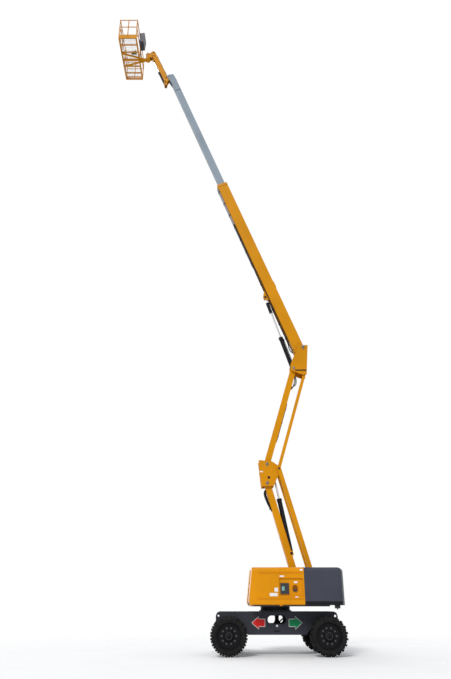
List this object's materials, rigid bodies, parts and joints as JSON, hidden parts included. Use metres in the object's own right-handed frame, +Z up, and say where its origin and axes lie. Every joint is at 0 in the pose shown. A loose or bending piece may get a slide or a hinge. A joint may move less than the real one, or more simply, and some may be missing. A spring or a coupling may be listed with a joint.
{
  "type": "articulating boom lift",
  "caption": "Self-propelled boom lift: wheeled chassis, slewing turret, double risers, telescopic boom, jib and rotating basket, all jointed.",
  "frame": {"origin": "on the ground under the slewing axis, midway between the axles", "axes": "+X forward, the way the basket points; +Y to the left side; +Z up"},
  "size_m": [8.2792, 2.48, 25.3207],
  "materials": {
    "paint_yellow": "gloss paint",
    "paint_dark": "satin paint",
    "paint_weight": "satin paint",
    "paint_grey": "satin paint",
    "black_steel": "satin paint",
    "rod_chrome": "polished",
    "tyre_rubber": "matt rubber",
    "rim_paint": "satin paint",
    "hood_paint": "gloss moulding",
    "black_plastic": "moulded",
    "grey_plastic": "moulded",
    "engine_metal": "cast",
    "mesh_steel": "galvanised",
    "pedal_paint": "painted"
  },
  "bodies": {
    "chassis": {"chassis_frame": "paint_dark", "front_axle": "black_steel", "rear_axle": "black_steel", "slew_ring": "black_steel"},
    "turret": {"turret_frame": "paint_dark", "counterweight": "paint_weight", "engine_block": "engine_metal"},
    "near_hood": {"near_hood": "hood_paint", "control_box": "black_plastic"},
    "far_hood": {"far_hood": "hood_paint"},
    "lower_riser": {"lower_riser": "paint_yellow", "riser_barrel": "black_steel"},
    "riser_rod": {"riser_rod": "rod_chrome"},
    "lower_tie": {"lower_tie": "paint_yellow"},
    "knee": {"knee": "paint_yellow"},
    "upper_riser": {"upper_riser": "paint_yellow"},
    "upper_tie": {"upper_tie": "paint_yellow"},
    "top_upright": {"top_upright": "paint_yellow"},
    "boom": {"main_boom": "paint_yellow", "hose_tray": "black_plastic"},
    "boom_barrel": {"boom_barrel": "black_steel"},
    "boom_rod": {"boom_rod": "rod_chrome"},
    "extension": {"extension": "paint_grey", "boom_head": "paint_grey"},
    "jib_base": {"jib_base": "paint_yellow"},
    "jib": {"jib": "paint_yellow"},
    "jib_link": {"jib_link": "paint_grey"},
    "jib_barrel": {"jib_barrel": "black_steel"},
    "jib_rod": {"jib_rod": "rod_chrome"},
    "platform_support": {"platform_support": "paint_yellow"},
    "platform": {"rotator": "black_steel", "platform_frame": "paint_yellow", "basket_floor": "paint_yellow", "floor_mesh": "mesh_steel", "rail_near_end": "paint_yellow", "rail_far_end": "paint_yellow", "rail_boom_side": "paint_yellow", "rail_outer_a": "paint_yellow", "rail_outer_b": "paint_yellow", "toe_sill": "paint_yellow", "console": "grey_plastic", "foot_pedal": "pedal_paint"},
    "gate": {"gate": "paint_yellow"},
    "tie_rod_front": {"tie_rod_front": "black_steel"},
    "tie_rod_rear": {"tie_rod_rear": "black_steel"},
    "knuckle_fl": {"knuckle_fl": "black_steel"},
    "wheel_fl": {"tyre_fl": "tyre_rubber", "rim_fl": "rim_paint"},
    "knuckle_fr": {"knuckle_fr": "black_steel"},
    "wheel_fr": {"tyre_fr": "tyre_rubber", "rim_fr": "rim_paint"},
    "knuckle_rl": {"knuckle_rl": "black_steel"},
    "wheel_rl": {"tyre_rl": "tyre_rubber", "rim_rl": "rim_paint"},
    "knuckle_rr": {"knuckle_rr": "black_steel"},
    "wheel_rr": {"tyre_rr": "tyre_rubber", "rim_rr": "rim_paint"}
  },
  "joints": [
    {"name": "steer_fl", "type": "hinge", "parent": "chassis", "child": "knuckle_fl", "pos_m": [1.405, 0.8, 0.528], "axis": [0, 0, 1], "range_deg": [-30, 30]},
    {"name": "wheel_spin_fl", "type": "hinge", "parent": "knuckle_fl", "child": "wheel_fl", "pos_m": [1.405, 1.035, 0.528], "axis": [0, 1, 0], "continuous": true},
    {"name": "steer_fr", "type": "hinge", "parent": "chassis", "child": "knuckle_fr", "pos_m": [1.405, -0.8, 0.528], "axis": [0, 0, 1], "range_deg": [-30, 30]},
    {"name": "wheel_spin_fr", "type": "hinge", "parent": "knuckle_fr", "child": "wheel_fr", "pos_m": [1.405, -1.035, 0.528], "axis": [0, 1, 0], "continuous": true},
    {"name": "tie_rod_front_shift", "type": "slide", "parent": "chassis", "child": "tie_rod_front", "axis": [0, 1, 0], "range_m": [-0.095, 0.095]},
    {"name": "steer_rl", "type": "hinge", "parent": "chassis", "child": "knuckle_rl", "pos_m": [-1.405, 0.8, 0.528], "axis": [0, 0, 1], "range_deg": [-30, 30]},
    {"name": "wheel_spin_rl", "type": "hinge", "parent": "knuckle_rl", "child": "wheel_rl", "pos_m": [-1.405, 1.035, 0.528], "axis": [0, 1, 0], "continuous": true},
    {"name": "steer_rr", "type": "hinge", "parent": "chassis", "child": "knuckle_rr", "pos_m": [-1.405, -0.8, 0.528], "axis": [0, 0, 1], "range_deg": [-30, 30]},
    {"name": "wheel_spin_rr", "type": "hinge", "parent": "knuckle_rr", "child": "wheel_rr", "pos_m": [-1.405, -1.035, 0.528], "axis": [0, 1, 0], "continuous": true},
    {"name": "tie_rod_rear_shift", "type": "slide", "parent": "chassis", "child": "tie_rod_rear", "axis": [0, 1, 0], "range_m": [-0.095, 0.095]},
    {"name": "slew", "type": "hinge", "parent": "chassis", "child": "turret", "pos_m": [0, 0, 1.285], "axis": [0, 0, 1], "continuous": true},
    {"name": "near_hood_lift", "type": "hinge", "parent": "turret", "child": "near_hood", "pos_m": [0, 0.385, 2.296], "axis": [1, 0, 0], "range_deg": [0, 60]},
    {"name": "far_hood_lift", "type": "hinge", "parent": "turret", "child": "far_hood", "pos_m": [0, -0.385, 2.296], "axis": [-1, 0, 0], "range_deg": [0, 60]},
    {"name": "riser_lift", "type": "hinge", "parent": "turret", "child": "lower_riser", "pos_m": [-0.8, 0, 1.545], "axis": [0, -1, 0], "range_deg": [-74, 0]},
    {"name": "lower_tie_swing", "type": "hinge", "parent": "turret", "child": "lower_tie", "pos_m": [-1.188, 0, 2], "axis": [0, -1, 0], "range_deg": [-74, 0]},
    {"name": "knee_level", "type": "hinge", "parent": "lower_riser", "child": "knee", "pos_m": [0.14202, 0, 4.9418], "axis": [0, -1, 0], "range_deg": [0, 74]},
    {"name": "upper_riser_lift", "type": "hinge", "parent": "knee", "child": "upper_riser", "pos_m": [0.13501, 0, 5.5578], "axis": [0, 1, 0], "range_deg": [-74, 0]},
    {"name": "upper_tie_swing", "type": "hinge", "parent": "knee", "child": "upper_tie", "pos_m": [-0.24599, 0, 5.3968], "axis": [0, -1, 0], "range_deg": [0, 74]},
    {"name": "upright_level", "type": "hinge", "parent": "upper_riser", "child": "top_upright", "pos_m": [-0.8956, 0, 8.92877], "axis": [0, -1, 0], "range_deg": [-74, 0]},
    {"name": "riser_rod_stroke", "type": "slide", "parent": "lower_riser", "child": "riser_rod", "axis": [0.1863, 0, 0.9825], "range_m": [-0.42975, 0]},
    {"name": "boom_lift", "type": "hinge", "parent": "top_upright", "child": "boom", "pos_m": [-1.25859, 0, 9.73577], "axis": [0, -1, 0], "range_deg": [-69.3, 5.7]},
    {"name": "boom_barrel_swing", "type": "hinge", "parent": "top_upright", "child": "boom_barrel", "pos_m": [-0.8956, 0, 8.92877], "axis": [0, -1, 0], "range_deg": [-62.72, 5.16]},
    {"name": "boom_rod_stroke", "type": "slide", "parent": "boom_barrel", "child": "boom_rod", "axis": [0.3011, 0, 0.9536], "range_m": [-0.96439, 0.07932]},
    {"name": "telescope", "type": "slide", "parent": "boom", "child": "extension", "axis": [0.3535, 0, 0.9354], "range_m": [-5.3, 0]},
    {"name": "head_level", "type": "hinge", "parent": "extension", "child": "jib_base", "pos_m": [4.04035, 0, 22.96688], "axis": [0, -1, 0], "range_deg": [-5.7, 69.3]},
    {"name": "jib_lift", "type": "hinge", "parent": "jib_base", "child": "jib", "pos_m": [4.16035, 0, 22.91588], "axis": [0, -1, 0], "range_deg": [-135, 5]},
    {"name": "jib_link_swing", "type": "hinge", "parent": "jib_base", "child": "jib_link", "pos_m": [4.17535, 0, 22.65588], "axis": [0, -1, 0], "range_deg": [-135, 5]},
    {"name": "basket_level", "type": "hinge", "parent": "jib", "child": "platform_support", "pos_m": [4.79617, 0, 24.48171], "axis": [0, -1, 0], "range_deg": [-5, 135]},
    {"name": "jib_barrel_swing", "type": "hinge", "parent": "jib_base", "child": "jib_barrel", "pos_m": [4.18035, 0, 22.51088], "axis": [0, -1, 0], "range_deg": [-136.84, 5.07]},
    {"name": "jib_rod_stroke", "type": "slide", "parent": "jib_barrel", "child": "jib_rod", "axis": [0.3735, 0, 0.9276], "range_m": [-0.7482, 0.02771]},
    {"name": "basket_rotate", "type": "hinge", "parent": "platform_support", "child": "platform", "pos_m": [5.04917, 0, 24.18071], "axis": [0, 0, 1], "range_deg": [-90, 90]},
    {"name": "gate_swing", "type": "hinge", "parent": "platform", "child": "gate", "pos_m": [6.19916, -0.35, 24.18071], "axis": [0, 0, 1], "range_deg": [0, 90]}
  ],
  "couplings": [
    {"joint": "steer_fr", "follows": "steer_fl", "ratio": 1},
    {"joint": "tie_rod_front_shift", "follows": "steer_fl", "m_per_rad": -0.18144},
    {"joint": "steer_rr", "follows": "steer_rl", "ratio": 1},
    {"joint": "tie_rod_rear_shift", "follows": "steer_rl", "m_per_rad": 0.18144},
    {"joint": "lower_tie_swing", "follows": "riser_lift", "ratio": 1},
    {"joint": "knee_level", "follows": "riser_lift", "ratio": -1},
    {"joint": "upper_tie_swing", "follows": "upper_riser_lift", "ratio": -1},
    {"joint": "upright_level", "follows": "upper_riser_lift", "ratio": 1},
    {"joint": "riser_rod_stroke", "follows": "riser_lift", "m_per_rad": 0.33274},
    {"joint": "boom_barrel_swing", "follows": "boom_lift", "ratio": 0.90511},
    {"joint": "boom_rod_stroke", "follows": "boom_lift", "m_per_rad": 0.79734},
    {"joint": "head_level", "follows": "boom_lift", "ratio": -1},
    {"joint": "jib_link_swing", "follows": "jib_lift", "ratio": 1},
    {"joint": "basket_level", "follows": "jib_lift", "ratio": -1},
    {"joint": "jib_barrel_swing", "follows": "jib_lift", "ratio": 1.0136},
    {"joint": "jib_rod_stroke", "follows": "jib_lift", "m_per_rad": 0.31755}
  ]
}
